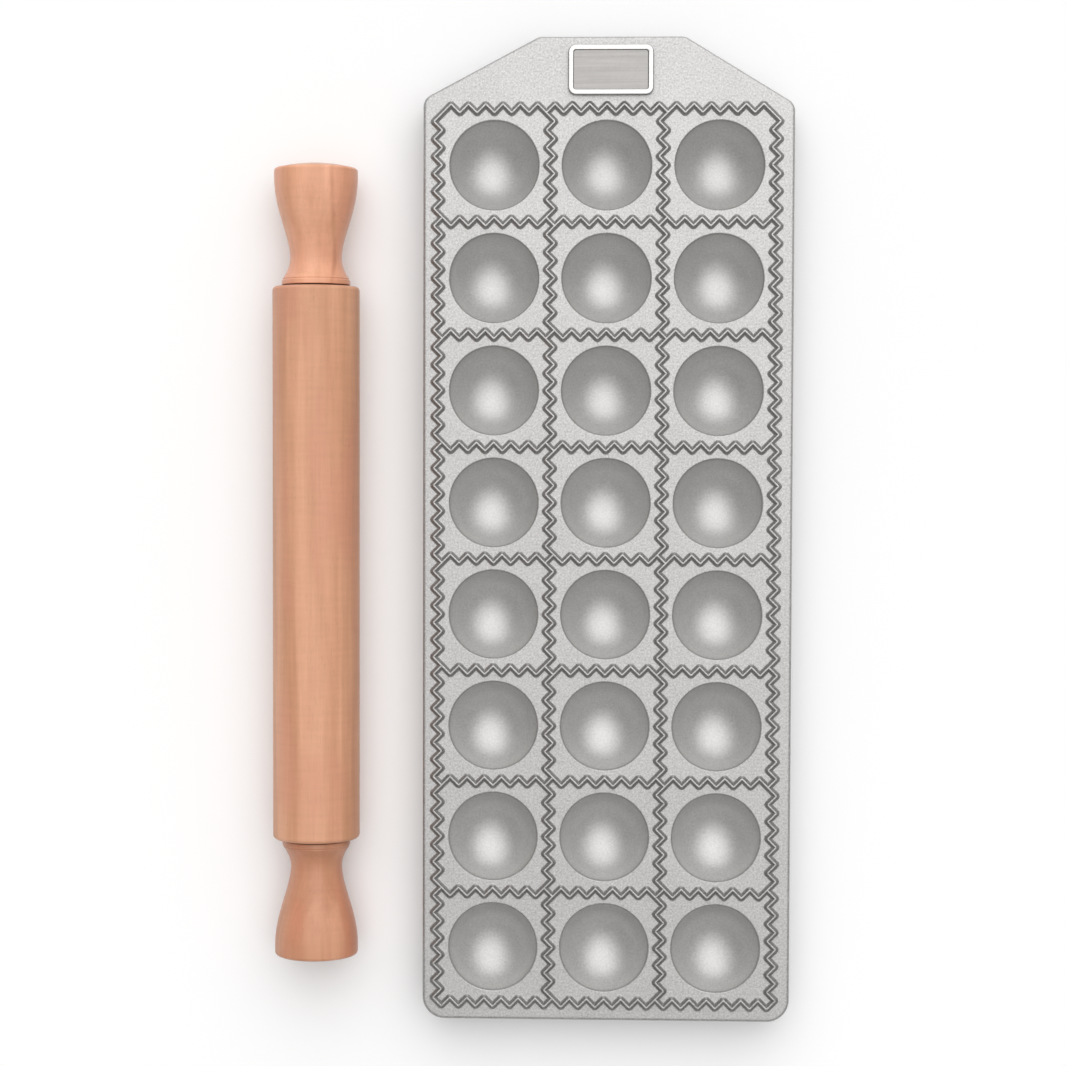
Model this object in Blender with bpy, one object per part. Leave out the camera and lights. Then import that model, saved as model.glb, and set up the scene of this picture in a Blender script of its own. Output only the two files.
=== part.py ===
"""Ravioli mould with its rolling pin.

A cast aluminium plate carries a grid of round cups. Low ridges run in zig-zag lines between
the cups: they cut the two sheets of pasta into squares with a scalloped edge when the small
wooden rolling pin passes over them. The roller of the pin turns on a steel axle that joins
the two handles.

World frame: +X to the right of the plate, +Y towards its head end, +Z up. The origin lies on
the bench, under the middle of the set. All sizes are in metres.
"""

import math

import bmesh
import bpy
from mathutils import Vector
from mathutils.geometry import delaunay_2d_cdt

MM = 0.001

# Grid of cells
COLUMNS = 3
ROWS = 8
CELL_PITCH = 35.0 * MM
STEPS_PER_CELL = 13  # half waves of the zig-zag along one cell, an odd number

# Ridges between the cells
RIDGE_BASE = 1.75 * MM
RIDGE_LAND = 0.40 * MM  # width of the flat crest that does the cutting
RIDGE_HEIGHT = 1.0 * MM

# Cups
CUP_TO_RIDGE = 0.92 * MM  # flat left between a cup's rim and the nearest bend of a ridge
CUP_DEPTH = 10.0 * MM
CUP_WALL = 1.8 * MM

# Plate. The grid of cells doesn't sit quite in the middle of the casting, and the right
# shoulder is a little steeper than the left one.
LEFT_MARGIN = 4.7 * MM  # outer grid line to the side edge
RIGHT_MARGIN = 5.75 * MM
FRONT_MARGIN = 5.65 * MM  # last grid line to the front edge
HEAD_MARGIN = 22.25 * MM  # first grid line to the head edge
HEAD_FLAT = 45.4 * MM  # straight part of the head edge, between the shoulders
HEAD_ASIDE = 1.5 * MM  # middle of that part, to the right of the grid's middle
LEFT_DROP = 19.1 * MM  # how far the left shoulder comes down from the head edge
RIGHT_DROP = 20.8 * MM
FRONT_CORNER_RADIUS = 7.0 * MM
SHOULDER_RADIUS = 4.0 * MM
HEAD_CORNER_RADIUS = 4.0 * MM
PLATE_TOP = 17.0 * MM  # height of the flat top above the bench
PLATE_THICKNESS = 2.2 * MM
SKIRT_WALL = 2.2 * MM
SKIRT_LIFT = 1.5 * MM  # air under the skirt, which the feet give
EDGE_ROUND = 1.0 * MM  # rounding of the top edge
LEAST_CORNER = 0.3 * MM  # smallest radius left on an inner corner

# Rubber feet in bosses under the plate
BOSS_DIAMETER = 8.0 * MM
BOSS_APART = 1.7 * MM  # space between a boss and the cup beside it
FOOT_DIAMETER = 9.0 * MM
FOOT_HEIGHT = 2.7 * MM
FOOT_ROUND = 0.7 * MM
STEM_DIAMETER = 4.0 * MM
STEM_LENGTH = 5.0 * MM
STEM_SPARE = 0.5 * MM  # depth of the stem hole beyond the stem

# Plain plaque at the head end
PLAQUE_LENGTH = 26.5 * MM
PLAQUE_WIDTH = 15.5 * MM
PLAQUE_THICKNESS = 1.3 * MM
PLAQUE_CORNER = 2.4 * MM
PLAQUE_BEVEL = 0.35 * MM
PLAQUE_FRAME = 1.1 * MM  # width of its raised frame
PLAQUE_RECESS = 0.4 * MM  # depth of its field below the frame
PLAQUE_TO_HEAD = 2.65 * MM
PLAQUE_ASIDE = 1.15 * MM  # its middle, to the right of the grid's middle

# Roller
ROLLER_DIAMETER = 27.3 * MM
ROLLER_LENGTH = 174.0 * MM
ROLLER_ROUND = 1.3 * MM
ROLLER_BORE_SPARE = 1.0 * MM  # air round the axle inside the roller

# Axle and bushes
AXLE_DIAMETER = 6.0 * MM
AXLE_CHAMFER = 0.5 * MM
BUSH_WALL = 1.5 * MM
BUSH_LENGTH = 12.0 * MM

# Handles
HANDLE_LENGTH = 38.0 * MM
HANDLE_GAP = 0.5 * MM  # running gap between a handle and the roller
HANDLE_HOLD = 20.0 * MM  # how deep the axle goes into a handle
COLLAR_DIAMETER = 21.4 * MM
COLLAR_LIP = 1.6 * MM  # straight rim of the collar beside the roller
NECK_DIAMETER = 16.1 * MM
NECK_AT = 8.5 * MM  # from the collar's face to the narrowest place
BULB_DIAMETER = 26.2 * MM
BULB_STRAIGHT = 1.0 * MM  # length of the widest part, before the end is rounded
SWELL_BIAS = 0.85  # below 1 the grip widens sooner behind the neck
HANDLE_ROUND = 1.8 * MM
DOME_RISE = 1.5 * MM

# Where the pin lies beside the plate
PIN_APART = 20.3 * MM  # plate's side to the roller
PIN_FORWARD = 2.0 * MM  # how far its middle lies in front of the grid's middle

# Fits
SEAT_GAP = 0.3 * MM  # between pieces that rest on or hold each other
RUN_GAP = 0.3 * MM  # between the axle and what turns on it

# Facets
CUP_SIDES = 20
SHELL_SIDES = 14
BOWL_RINGS = 3
BOSS_SIDES = 12
FOOT_SIDES = 12
ROLLER_SIDES = 28
HANDLE_SIDES = 20
AXLE_SIDES = 16
CORNER_STEP = math.radians(15.0)
EDGE_RINGS = 2
PLAQUE_STEP = math.radians(30.0)
COVE_POINTS = 3
SWELL_POINTS = 6
ROUND_POINTS = 2
DOME_POINTS = 2
SMOOTH_BELOW = math.radians(35.0)  # edges flatter than this are shaded smooth

# Filling of flat regions
INSIDE_OUTLINES = 1  # asks the triangulation for the triangles within the outlines
SAME_POINT = 1e-9

# Finishes: colour, roughness, metallic
CAST_ALUMINIUM = ((0.62, 0.61, 0.60), 0.45, 1.0)
POLISHED_PLATE = ((0.80, 0.80, 0.79), 0.12, 1.0)
BLACK_RUBBER = ((0.03, 0.03, 0.03), 0.75, 0.0)
ROLLER_BEECH = ((0.70, 0.37, 0.22), 0.55, 0.0)
HANDLE_BEECH = ((0.74, 0.38, 0.24), 0.50, 0.0)
BRIGHT_STEEL = ((0.56, 0.57, 0.58), 0.25, 1.0)
WHITE_NYLON = ((0.82, 0.81, 0.77), 0.45, 0.0)

# Sizes that follow from the ones above
GRID_WIDTH = COLUMNS * CELL_PITCH
GRID_LENGTH = ROWS * CELL_PITCH
HALF_STEP = CELL_PITCH / STEPS_PER_CELL
RIDGE_REACH = HALF_STEP / 2 + RIDGE_BASE / math.sqrt(2)  # from a grid line to the furthest bend
CUP_DIAMETER = CELL_PITCH - 2 * (RIDGE_REACH + CUP_TO_RIDGE)
UNDERSIDE = PLATE_TOP - PLATE_THICKNESS
CUP_SPHERE = ((CUP_DIAMETER / 2) ** 2 + CUP_DEPTH**2) / (2 * CUP_DEPTH)
CUP_CENTRE = PLATE_TOP + CUP_SPHERE - CUP_DEPTH
SHELL_SPHERE = CUP_SPHERE + CUP_WALL
BOSS_END = FOOT_HEIGHT + SEAT_GAP
BULB_AT = HANDLE_LENGTH - DOME_RISE - HANDLE_ROUND - BULB_STRAIGHT
GRID_X = (ROLLER_DIAMETER + PIN_APART + LEFT_MARGIN - RIGHT_MARGIN) / 2
GRID_Y = (FRONT_MARGIN - HEAD_MARGIN) / 2
PIN_X = GRID_X - GRID_WIDTH / 2 - LEFT_MARGIN - PIN_APART - ROLLER_DIAMETER / 2
PIN_Y = GRID_Y - PIN_FORWARD


def clear_scene():
    """Remove every object that is in the scene."""
    for thing in list(bpy.data.objects):
        bpy.data.objects.remove(thing, do_unlink=True)


def finish(name, look):
    """A plain material from a colour, a roughness and a metallic value."""
    colour, roughness, metallic = look
    material = bpy.data.materials.new(name)
    material.use_nodes = True
    shader = material.node_tree.nodes["Principled BSDF"]
    shader.inputs["Base Color"].default_value = (*colour, 1.0)
    shader.inputs["Roughness"].default_value = roughness
    shader.inputs["Metallic"].default_value = metallic
    material.diffuse_color = (*colour, 1.0)
    return material


def solid(name, bm, look):
    """An object from a closed bmesh, with its faces pointing out and its finish."""
    bmesh.ops.recalc_face_normals(bm, faces=bm.faces)
    mesh = bpy.data.meshes.new(name)
    bm.to_mesh(mesh)
    bm.free()
    mesh.shade_smooth()
    mesh.set_sharp_from_angle(angle=SMOOTH_BELOW)
    mesh.materials.append(finish(name, look))
    thing = bpy.data.objects.new(name, mesh)
    bpy.context.scene.collection.objects.link(thing)
    return thing


def ring(bm, points, height):
    """Vertices at the given plane points, all at one height."""
    return [bm.verts.new((x, y, height)) for x, y in points]


def bridge(bm, first, second):
    """Quads between two closed rings that have as many vertices."""
    count = len(first)
    for i in range(count):
        after = (i + 1) % count
        bm.faces.new((first[i], first[after], second[after], second[i]))


def cone_to(bm, loop, tip):
    """Triangles from a closed ring to one vertex."""
    for i, corner in enumerate(loop):
        bm.faces.new((corner, loop[(i + 1) % len(loop)], tip))


def winding(loop):
    """Twice the signed area of a ring of vertices seen from above."""
    return sum(a.co.x * b.co.y - b.co.x * a.co.y for a, b in zip(loop, loop[1:] + loop[:1]))


def fill(bm, outer, holes=()):
    """Triangles over a flat region inside one closed ring and outside others."""
    corners = []
    outlines = []
    for loop in (outer, *holes):
        outlines.append(list(range(len(corners), len(corners) + len(loop))))
        corners.extend(loop if winding(loop) > 0 else reversed(loop))
    flat = [corner.co.xy for corner in corners]
    found = delaunay_2d_cdt(flat, [], outlines, INSIDE_OUTLINES, SAME_POINT)
    triangles, sources, regions = found[2], found[3], found[5]
    for triangle, region in zip(triangles, regions):
        if region == [0]:
            bm.faces.new([corners[sources[i][0]] for i in triangle])


def circle(centre, radius, sides):
    """Points round a centre, anticlockwise from +X."""
    turns = [2 * math.pi * i / sides for i in range(sides)]
    return [(centre[0] + radius * math.cos(t), centre[1] + radius * math.sin(t)) for t in turns]


def rounded_outline(corners, radii, inset, step):
    """A convex anticlockwise outline moved inwards, with each corner turned into an arc.

    The arcs stay concentric as the outline moves in, as long as their radius lasts, and
    have the same number of points at every inset, so that the outlines can be bridged.
    """
    points = []
    for i, corner in enumerate(corners):
        here = Vector(corner)
        before = (here - Vector(corners[i - 1])).normalized()
        after = (Vector(corners[(i + 1) % len(corners)]) - here).normalized()
        turn = before.angle(after)
        radius = max(radii[i] - inset, LEAST_CORNER)
        inwards = (after - before).normalized()
        centre = here + inwards * (inset + radius) / math.cos(turn / 2)
        start = math.atan2(-before.x, before.y)
        pieces = max(round(turn / step), 1)
        for j in range(pieces + 1):
            angle = start + turn * j / pieces
            points.append((centre.x + radius * math.cos(angle), centre.y + radius * math.sin(angle)))
    return points


def plate_outline(inset):
    """The plate seen from above, in the grid's frame: square front, slanted shoulders."""
    left = -GRID_WIDTH / 2 - LEFT_MARGIN
    right = GRID_WIDTH / 2 + RIGHT_MARGIN
    front = -GRID_LENGTH / 2 - FRONT_MARGIN
    head = GRID_LENGTH / 2 + HEAD_MARGIN
    corners = [
        (left, front),
        (right, front),
        (right, head - RIGHT_DROP),
        (HEAD_ASIDE + HEAD_FLAT / 2, head),
        (HEAD_ASIDE - HEAD_FLAT / 2, head),
        (left, head - LEFT_DROP),
    ]
    front_radii = [FRONT_CORNER_RADIUS] * 2
    head_radii = [SHOULDER_RADIUS, HEAD_CORNER_RADIUS, HEAD_CORNER_RADIUS, SHOULDER_RADIUS]
    return rounded_outline(corners, front_radii + head_radii, inset, CORNER_STEP)


def cell_centres():
    """Middle of each cup in the grid's frame, row by row from the head end."""
    for row in range(ROWS):
        for column in range(COLUMNS):
            x = (column + 0.5) * CELL_PITCH - GRID_WIDTH / 2
            y = GRID_LENGTH / 2 - (row + 0.5) * CELL_PITCH
            yield x, y


class RidgeNet:
    """The zig-zag ridge lines as a net of short straight ridges.

    Every line swings half a step to either side of its grid line, at 45 degrees, so all
    bends lie on one square lattice, counted in half steps across and down from the head
    end's left corner. Two lines that cross share one short ridge there.
    """

    def __init__(self):
        self.neighbours = {}
        last_across = STEPS_PER_CELL * COLUMNS - COLUMNS % 2
        last_down = STEPS_PER_CELL * ROWS - ROWS % 2
        for line in range(COLUMNS + 1):
            self.join([(self.swing(line, down), down) for down in range(last_down + 1)])
        for line in range(ROWS + 1):
            self.join([(across, self.swing(line, across)) for across in range(last_across + 1)])
        for place, around in self.neighbours.items():
            around.sort(key=lambda other: self.bearing(place, other))

    @staticmethod
    def swing(line, along):
        """Where a zig-zag line is at a step along it: on either side of its grid line."""
        return STEPS_PER_CELL * line - (line + along) % 2

    def join(self, places):
        """Add one line of ridges, given its bends."""
        for here, there in zip(places, places[1:]):
            for a, b in ((here, there), (there, here)):
                around = self.neighbours.setdefault(a, [])
                if b not in around:
                    around.append(b)

    @staticmethod
    def position(place):
        """Plane position of a bend in the grid's frame."""
        x = -GRID_WIDTH / 2 + (place[0] + 0.5) * HALF_STEP
        y = GRID_LENGTH / 2 - (place[1] + 0.5) * HALF_STEP
        return Vector((x, y))

    def direction(self, place, other):
        """Unit vector from one bend to the next."""
        return (self.position(other) - self.position(place)).normalized()

    def bearing(self, place, other):
        """Angle of a ridge as it leaves a bend."""
        way = self.direction(place, other)
        return math.atan2(way.y, way.x)

    def ridge_before(self, place, other):
        """The next ridge clockwise round a bend."""
        around = self.neighbours[place]
        return around[around.index(other) - 1]

    def ridge_after(self, place, other):
        """The next ridge anticlockwise round a bend."""
        around = self.neighbours[place]
        return around[(around.index(other) + 1) % len(around)]

    def side_point(self, place, other, offset):
        """The mitred point beside a bend, between one ridge and the next anticlockwise.

        Ridges meet square or run straight on. The first term is the square corner and is
        nought on a straight run, and the second is the other way round.
        """
        here = self.direction(place, other)
        there = self.direction(place, self.ridge_after(place, other))
        square = (here + there) * here.cross(there)
        straight = here.orthogonal() * here.dot(there) ** 2
        return self.position(place) + (square + straight) * offset

    def ridges(self):
        """Each ridge once in each direction."""
        return [(a, b) for a, around in self.neighbours.items() for b in around]

    def regions(self):
        """The ridge runs round each region, with the region on their left."""
        left = set(self.ridges())
        while left:
            first = min(left)
            run = [first]
            while True:
                here, there = run[-1]
                following = (there, self.ridge_before(there, here))
                if following == first:
                    break
                run.append(following)
            left.difference_update(run)
            yield run


def add_ridges(bm, net):
    """Flanks and crests of all ridges. Returns the base vertex beside each directed ridge."""
    base = {}
    crest = {}
    for ridge in net.ridges():
        base[ridge] = bm.verts.new((*net.side_point(*ridge, RIDGE_BASE / 2), PLATE_TOP))
        crest[ridge] = bm.verts.new((*net.side_point(*ridge, RIDGE_LAND / 2), PLATE_TOP + RIDGE_HEIGHT))
    for here, there in net.ridges():
        start = (here, there)
        end = (there, net.ridge_before(there, here))
        bm.faces.new((crest[start], crest[end], base[end], base[start]))
        if here < there:
            right = (here, net.ridge_before(here, there))
            bm.faces.new((crest[right], crest[there, here], crest[end], crest[start]))
    for place, around in net.neighbours.items():
        if len(around) > 2:
            bm.faces.new([crest[place, other] for other in around])
    return base


def add_bowl(bm, rim, centre, sphere, sphere_height, rim_height):
    """A spherical bowl below a rim ring: rings of shrinking angle and a lowest point."""
    rim_angle = math.acos((sphere_height - rim_height) / sphere)
    outer = rim
    for i in range(BOWL_RINGS - 1, 0, -1):
        angle = rim_angle * i / BOWL_RINGS
        height = sphere_height - sphere * math.cos(angle)
        inner = ring(bm, circle(centre, sphere * math.sin(angle), len(rim)), height)
        bridge(bm, outer, inner)
        outer = inner
    cone_to(bm, outer, bm.verts.new((*centre, sphere_height - sphere)))


def add_top(bm, edge):
    """The top of the plate: ridges, the flats between them, and the cups."""
    net = RidgeNet()
    base = add_ridges(bm, net)
    loops = [[base[ridge] for ridge in run] for run in net.regions()]
    border = min(loops, key=winding)
    fill(bm, edge, [border])
    cells = [loop for loop in loops if loop is not border]
    for centre in cell_centres():
        middle = Vector((*centre, PLATE_TOP))
        cell = min(cells, key=lambda loop: min((v.co - middle).length for v in loop))
        rim = ring(bm, circle(centre, CUP_DIAMETER / 2, CUP_SIDES), PLATE_TOP)
        fill(bm, cell, [rim])
        add_bowl(bm, rim, centre, CUP_SPHERE, CUP_CENTRE, PLATE_TOP)
        cells.remove(cell)


def shell_radius():
    """Radius of a cup's outer shell where it meets the plate's underside."""
    return math.sqrt(SHELL_SPHERE**2 - (CUP_CENTRE - UNDERSIDE) ** 2)


def boss_centres():
    """Middle of each foot boss in the grid's frame, by the name of its corner."""
    diagonal = shell_radius() + BOSS_APART + BOSS_DIAMETER / 2
    x = (GRID_WIDTH - CELL_PITCH) / 2 + diagonal / math.sqrt(2)
    y = (GRID_LENGTH - CELL_PITCH) / 2 + diagonal / math.sqrt(2)
    return {
        "front_left": (-x, -y),
        "front_right": (x, -y),
        "back_left": (-x, y),
        "back_right": (x, y),
    }


def add_boss(bm, root, centre):
    """A boss that hangs from a ring in the underside, with a blind hole for a foot's stem."""
    hole_radius = STEM_DIAMETER / 2 + SEAT_GAP
    hole_top = BOSS_END + STEM_LENGTH - SEAT_GAP + STEM_SPARE
    end = ring(bm, circle(centre, BOSS_DIAMETER / 2, BOSS_SIDES), BOSS_END)
    mouth = ring(bm, circle(centre, hole_radius, BOSS_SIDES), BOSS_END)
    bottom = ring(bm, circle(centre, hole_radius, BOSS_SIDES), hole_top)
    bridge(bm, root, end)
    bridge(bm, end, mouth)
    bridge(bm, mouth, bottom)
    fill(bm, bottom)


def add_underside(bm, edge):
    """The underside inside the skirt: shells of the cups and the foot bosses."""
    shells = []
    for centre in cell_centres():
        root = ring(bm, circle(centre, shell_radius(), SHELL_SIDES), UNDERSIDE)
        add_bowl(bm, root, centre, SHELL_SPHERE, CUP_CENTRE, UNDERSIDE)
        shells.append(root)
    bosses = []
    for centre in boss_centres().values():
        root = ring(bm, circle(centre, BOSS_DIAMETER / 2, BOSS_SIDES), UNDERSIDE)
        add_boss(bm, root, centre)
        bosses.append(root)
    fill(bm, edge, shells + bosses)


def make_mould_plate():
    """The casting: plate, skirt, cups, ridges and bosses in one piece."""
    bm = bmesh.new()
    top_edge = ring(bm, plate_outline(EDGE_ROUND), PLATE_TOP)
    outer = top_edge
    for i in range(1, EDGE_RINGS + 1):
        angle = math.pi / 2 * i / EDGE_RINGS
        inset = EDGE_ROUND * (1 - math.sin(angle))
        lower = ring(bm, plate_outline(inset), PLATE_TOP - EDGE_ROUND * (1 - math.cos(angle)))
        bridge(bm, outer, lower)
        outer = lower
    rim_outer = ring(bm, plate_outline(0.0), SKIRT_LIFT)
    rim_inner = ring(bm, plate_outline(SKIRT_WALL), SKIRT_LIFT)
    under_edge = ring(bm, plate_outline(SKIRT_WALL), UNDERSIDE)
    bridge(bm, outer, rim_outer)
    bridge(bm, rim_outer, rim_inner)
    bridge(bm, rim_inner, under_edge)
    add_top(bm, top_edge)
    add_underside(bm, under_edge)
    plate = solid("mould_plate", bm, CAST_ALUMINIUM)
    plate.location = (GRID_X, GRID_Y, 0.0)
    return plate


def make_plaque():
    """A plain oblong plaque with a raised frame round an empty field."""
    half_x = PLAQUE_LENGTH / 2
    half_y = PLAQUE_WIDTH / 2
    corners = [(-half_x, -half_y), (half_x, -half_y), (half_x, half_y), (-half_x, half_y)]
    field_inset = PLAQUE_BEVEL + PLAQUE_FRAME
    levels = [
        (0.0, 0.0),
        (0.0, PLAQUE_THICKNESS - PLAQUE_BEVEL),
        (PLAQUE_BEVEL, PLAQUE_THICKNESS),
        (field_inset, PLAQUE_THICKNESS),
        (field_inset + PLAQUE_RECESS / 2, PLAQUE_THICKNESS - PLAQUE_RECESS),
    ]
    bm = bmesh.new()
    rings = []
    for inset, height in levels:
        outline = rounded_outline(corners, [PLAQUE_CORNER] * len(corners), inset, PLAQUE_STEP)
        rings.append(ring(bm, outline, height))
    for lower, upper in zip(rings, rings[1:]):
        bridge(bm, lower, upper)
    fill(bm, rings[0])
    fill(bm, rings[-1])
    plaque = solid("plaque", bm, POLISHED_PLATE)
    head = GRID_Y + GRID_LENGTH / 2 + HEAD_MARGIN
    middle = head - PLAQUE_TO_HEAD - half_y
    plaque.location = (GRID_X + PLAQUE_ASIDE, middle, PLATE_TOP + SEAT_GAP)
    return plaque


def turned(name, profile, sides, look):
    """A solid of revolution round Z from (radius, height) points.

    A profile that starts and ends on the axis gives a closed body. Any other profile is
    closed back to its first point, which leaves a bore along the axis.
    """
    bm = bmesh.new()
    solid_core = profile[0][0] == 0.0 and profile[-1][0] == 0.0
    inner = profile[1:-1] if solid_core else profile
    rings = [ring(bm, circle((0.0, 0.0), radius, sides), height) for radius, height in inner]
    for lower, upper in zip(rings, rings[1:]):
        bridge(bm, lower, upper)
    if solid_core:
        cone_to(bm, rings[0], bm.verts.new((0.0, 0.0, profile[0][1])))
        cone_to(bm, rings[-1], bm.verts.new((0.0, 0.0, profile[-1][1])))
    else:
        bridge(bm, rings[-1], rings[0])
    return solid(name, bm, look)


def make_feet():
    """Four rubber buttons, each pushed by its stem into a boss."""
    radius = FOOT_DIAMETER / 2
    stem = STEM_DIAMETER / 2
    profile = [
        (0.0, 0.0),
        (radius - FOOT_ROUND, 0.0),
        (radius, FOOT_ROUND),
        (radius, FOOT_HEIGHT),
        (stem, FOOT_HEIGHT),
        (stem, FOOT_HEIGHT + STEM_LENGTH),
        (0.0, FOOT_HEIGHT + STEM_LENGTH),
    ]
    for corner, (x, y) in boss_centres().items():
        foot = turned(f"foot_{corner}", profile, FOOT_SIDES, BLACK_RUBBER)
        foot.location = (GRID_X + x, GRID_Y + y, 0.0)


def make_pin_axis():
    """The empty on the pin's axis that carries its pieces, with its Z along world Y."""
    axis = bpy.data.objects.new("pin_axis", None)
    bpy.context.scene.collection.objects.link(axis)
    axis.location = (PIN_X, PIN_Y, ROLLER_DIAMETER / 2)
    axis.rotation_euler = (-math.pi / 2, 0.0, 0.0)
    return axis


def bush_radius():
    """Outer radius of a bush."""
    return AXLE_DIAMETER / 2 + RUN_GAP + BUSH_WALL


def make_roller():
    """The wooden roller: rounded ends, a long bore, and a socket for a bush at each end."""
    radius = ROLLER_DIAMETER / 2
    end = ROLLER_LENGTH / 2
    socket = bush_radius() + SEAT_GAP
    socket_floor = end - BUSH_LENGTH - SEAT_GAP
    bore = AXLE_DIAMETER / 2 + ROLLER_BORE_SPARE
    middle_of_arc = ROLLER_ROUND * (1 - math.sqrt(0.5))
    upper = [
        (radius, end - ROLLER_ROUND),
        (radius - middle_of_arc, end - middle_of_arc),
        (radius - ROLLER_ROUND, end),
        (socket, end),
        (socket, socket_floor),
        (bore, socket_floor),
    ]
    lower = [(r, -z) for r, z in reversed(upper)]
    return turned("roller", upper + lower, ROLLER_SIDES, ROLLER_BEECH)


def make_bush(name):
    """A nylon sleeve that lines the end of the roller, flush with its face."""
    inner = AXLE_DIAMETER / 2 + RUN_GAP
    outer = bush_radius()
    end = ROLLER_LENGTH / 2
    start = end - BUSH_LENGTH
    profile = [(outer, start), (outer, end), (inner, end), (inner, start)]
    return turned(name, profile, AXLE_SIDES, WHITE_NYLON)


def make_axle():
    """The steel rod that joins the handles through the roller."""
    radius = AXLE_DIAMETER / 2
    end = ROLLER_LENGTH / 2 + HANDLE_GAP + HANDLE_HOLD
    profile = [
        (0.0, -end),
        (radius - AXLE_CHAMFER, -end),
        (radius, AXLE_CHAMFER - end),
        (radius, end - AXLE_CHAMFER),
        (radius - AXLE_CHAMFER, end),
        (0.0, end),
    ]
    return turned("axle", profile, AXLE_SIDES, BRIGHT_STEEL)


def handle_profile():
    """Half section of a handle: collar lip, hollow neck, swelling grip and domed end."""
    face = ROLLER_LENGTH / 2 + HANDLE_GAP
    hole = AXLE_DIAMETER / 2 + SEAT_GAP
    hole_end = face + HANDLE_HOLD + SEAT_GAP
    collar = COLLAR_DIAMETER / 2
    neck = NECK_DIAMETER / 2
    bulb = BULB_DIAMETER / 2
    profile = [(0.0, hole_end), (hole, hole_end), (hole, face), (collar, face)]
    for i in range(COVE_POINTS + 1):
        share = i / COVE_POINTS
        along = COLLAR_LIP + (NECK_AT - COLLAR_LIP) * share
        profile.append((neck + (collar - neck) * (1 - share) ** 2, face + along))
    for i in range(1, SWELL_POINTS + 1):
        share = i / SWELL_POINTS
        along = NECK_AT + (BULB_AT - NECK_AT) * share
        rise = (1 - math.cos(math.pi * share**SWELL_BIAS)) / 2
        profile.append((neck + (bulb - neck) * rise, face + along))
    shoulder = face + HANDLE_LENGTH - DOME_RISE
    for i in range(ROUND_POINTS + 1):
        angle = math.pi / 2 * i / ROUND_POINTS
        reach = HANDLE_ROUND * (1 - math.cos(angle))
        profile.append((bulb - reach, shoulder - HANDLE_ROUND * (1 - math.sin(angle))))
    for i in range(1, DOME_POINTS + 1):
        share = 1 - i / DOME_POINTS
        profile.append(((bulb - HANDLE_ROUND) * share, shoulder + DOME_RISE * (1 - share**2)))
    return profile


def make_pin():
    """The rolling pin, all of it carried by the empty on its axis."""
    axis = make_pin_axis()
    pieces = [make_roller(), make_axle()]
    for end in ("back", "front"):
        pieces.append(make_bush(f"bush_{end}"))
        pieces.append(turned(f"handle_{end}", handle_profile(), HANDLE_SIDES, HANDLE_BEECH))
    for piece in pieces:
        piece.parent = axis
        if piece.name.endswith("front"):
            piece.rotation_euler = (math.pi, 0.0, 0.0)


def main():
    clear_scene()
    make_mould_plate()
    make_plaque()
    make_feet()
    make_pin()


main()
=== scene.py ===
"""Ravioli mould with its rolling pin, dressed for a photograph taken from above.

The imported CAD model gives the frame. The extents of the plate, the plaque and the roller are
read from its boxes, and each finer mesh here stands where the CAD node that it replaces
stands. +X is to the right of the plate, +Y towards its head end, +Z up, in metres.
"""

import math

import bmesh
import bpy
from mathutils import Euler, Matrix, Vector
from mathutils.geometry import delaunay_2d_cdt


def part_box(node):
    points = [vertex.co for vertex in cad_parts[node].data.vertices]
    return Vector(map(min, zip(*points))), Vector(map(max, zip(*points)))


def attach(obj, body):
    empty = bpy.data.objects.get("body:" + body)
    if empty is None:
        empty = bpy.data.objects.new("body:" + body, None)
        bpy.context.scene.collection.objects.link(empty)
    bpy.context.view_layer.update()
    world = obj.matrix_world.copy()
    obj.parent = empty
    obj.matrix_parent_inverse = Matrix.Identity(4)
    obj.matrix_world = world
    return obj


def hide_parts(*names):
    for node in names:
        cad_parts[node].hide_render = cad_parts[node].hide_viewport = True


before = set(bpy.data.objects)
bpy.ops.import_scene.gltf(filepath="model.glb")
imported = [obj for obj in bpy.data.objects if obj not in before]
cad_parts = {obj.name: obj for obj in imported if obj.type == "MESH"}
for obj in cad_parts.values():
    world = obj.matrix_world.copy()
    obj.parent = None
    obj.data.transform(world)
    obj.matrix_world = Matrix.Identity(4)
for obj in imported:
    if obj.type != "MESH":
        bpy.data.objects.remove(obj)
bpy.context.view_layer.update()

MM = 0.001

# Grid of cells
COLUMNS = 3
ROWS = 8
CELL_PITCH = 35.0 * MM
STEPS_PER_CELL = 13  # half waves of the zig-zag along one cell, an odd number
STEP = CELL_PITCH / STEPS_PER_CELL
GRID_WIDTH = COLUMNS * CELL_PITCH
GRID_LENGTH = ROWS * CELL_PITCH

# Section of a ridge: half width, height above the flat
RIDGE_SECTION = (
    (1.22 * MM, 0.00 * MM),
    (1.10 * MM, 0.04 * MM),
    (0.95 * MM, 0.14 * MM),
    (0.30 * MM, 0.86 * MM),
    (0.21 * MM, 0.95 * MM),
    (0.09 * MM, 1.00 * MM),
)
RIDGE_HEIGHT = RIDGE_SECTION[-1][1]
BEND_RADIUS = 0.30 * MM  # of the middle line of a ridge at its bends
BEND_SPREAD = 0.85  # how fast that radius grows towards the outer side of a bend
LEAST_BEND = 0.04 * MM  # radius kept on the inner side

# Cups
CUP_SPHERE = 14.8 * MM  # radius of the sphere that a cup is part of
CUP_DEPTH = 10.0 * MM
CUP_WALL = 1.8 * MM
RIM_ROUND = 0.35 * MM

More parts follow.
